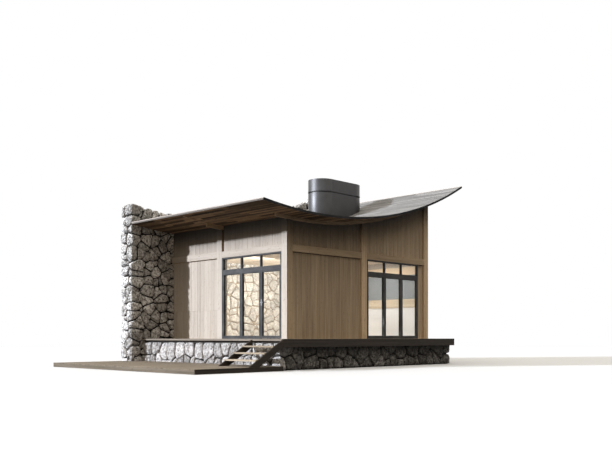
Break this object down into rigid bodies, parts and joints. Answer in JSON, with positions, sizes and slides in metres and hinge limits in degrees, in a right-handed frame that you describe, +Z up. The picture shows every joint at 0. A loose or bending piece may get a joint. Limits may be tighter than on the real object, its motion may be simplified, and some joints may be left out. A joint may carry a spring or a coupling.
{
  "type": "lakeside cabin",
  "caption": "Small timber-framed cabin on a stone plinth, with a terrace round two sides, a rubble back wall, a sagging roof, tall glazing, a door that opens, a stair and a low deck.",
  "frame": {"origin": "middle of the whole outline in plan, on the level that the walls and the deck stand on", "axes": "+X along the front wall, to the right seen from the front, and the longest way; +Y to the back; +Z up"},
  "size_m": [11.518, 7.141, 6.6881],
  "materials": {
    "rubble_stone": "rough rubble masonry with deep dark joints",
    "wall_boards": "vertical boards, oiled and slightly weathered",
    "frame_timber": "planed timber, matt",
    "floor_timber": "planed boards, matt",
    "dark_timber": "dark stained timber",
    "deck_timber": "grey weathered boards",
    "soffit_boards": "dark brown boards, matt",
    "roof_planks": "light grey weathered planks",
    "roof_edge": "matt dark metal edge",
    "window_frame": "anthracite powder coat",
    "glass": "clear",
    "hardware": "brushed",
    "shroud_metal": "dark satin metal"
  },
  "bodies": {
    "cabin": {"stone_wall": "rubble_stone", "front_plinth": "rubble_stone", "left_plinth": "rubble_stone", "right_plinth": "rubble_stone", "floor": "floor_timber", "floor_joists": "dark_timber", "left_terrace": "floor_timber", "front_terrace": "floor_timber", "front_rim_beam": "dark_timber", "right_rim_beam": "dark_timber", "front_roof_beam": "frame_timber", "middle_roof_beam": "frame_timber", "rear_roof_beam": "frame_timber", "corner_post": "frame_timber", "front_mid_post": "frame_timber", "front_right_post": "frame_timber", "left_mid_post": "frame_timber", "right_mid_post": "frame_timber", "left_rail": "frame_timber", "right_rail": "frame_timber", "front_rail": "frame_timber", "left_lower_panel": "wall_boards", "right_lower_panel": "wall_boards", "right_side_panel": "wall_boards", "front_lower_panel": "wall_boards", "front_side_panel": "wall_boards", "left_upper_panel_near": "wall_boards", "left_upper_panel_far": "wall_boards", "right_upper_panel_near": "wall_boards", "right_upper_panel_far": "wall_boards", "front_upper_panel_left": "wall_boards", "front_upper_panel_right": "wall_boards", "ceiling": "wall_boards", "front_window_frame": "window_frame", "front_window_glass": "glass", "right_window_frame": "window_frame", "right_window_glass": "glass", "left_window_lights": "window_frame", "left_window_transom": "window_frame", "left_window_glass": "glass", "entrance_jamb": "window_frame", "entrance_threshold": "window_frame", "entrance_hinges": "hardware", "roof_boards": "soffit_boards", "roof_covering": "roof_planks", "front_rake_fascia": "roof_edge", "left_eave_fascia": "roof_edge", "right_eave_fascia": "roof_edge", "chimney_shroud": "shroud_metal", "chimney_cap": "shroud_metal", "near_stair_stringer": "dark_timber", "far_stair_stringer": "dark_timber", "stair_treads": "deck_timber", "deck_frame": "deck_timber", "deck_boards": "deck_timber"},
    "entrance_door": {"entrance_door_leaf": "window_frame", "entrance_door_glass": "glass", "entrance_door_handle": "hardware"}
  },
  "joints": [
    {"name": "entrance_door_hinge", "type": "hinge", "parent": "cabin", "child": "entrance_door", "pos_m": [-1.69, -2.257, 1.829], "axis": [0, 0, -1], "range_deg": [0, 90]}
  ]
}
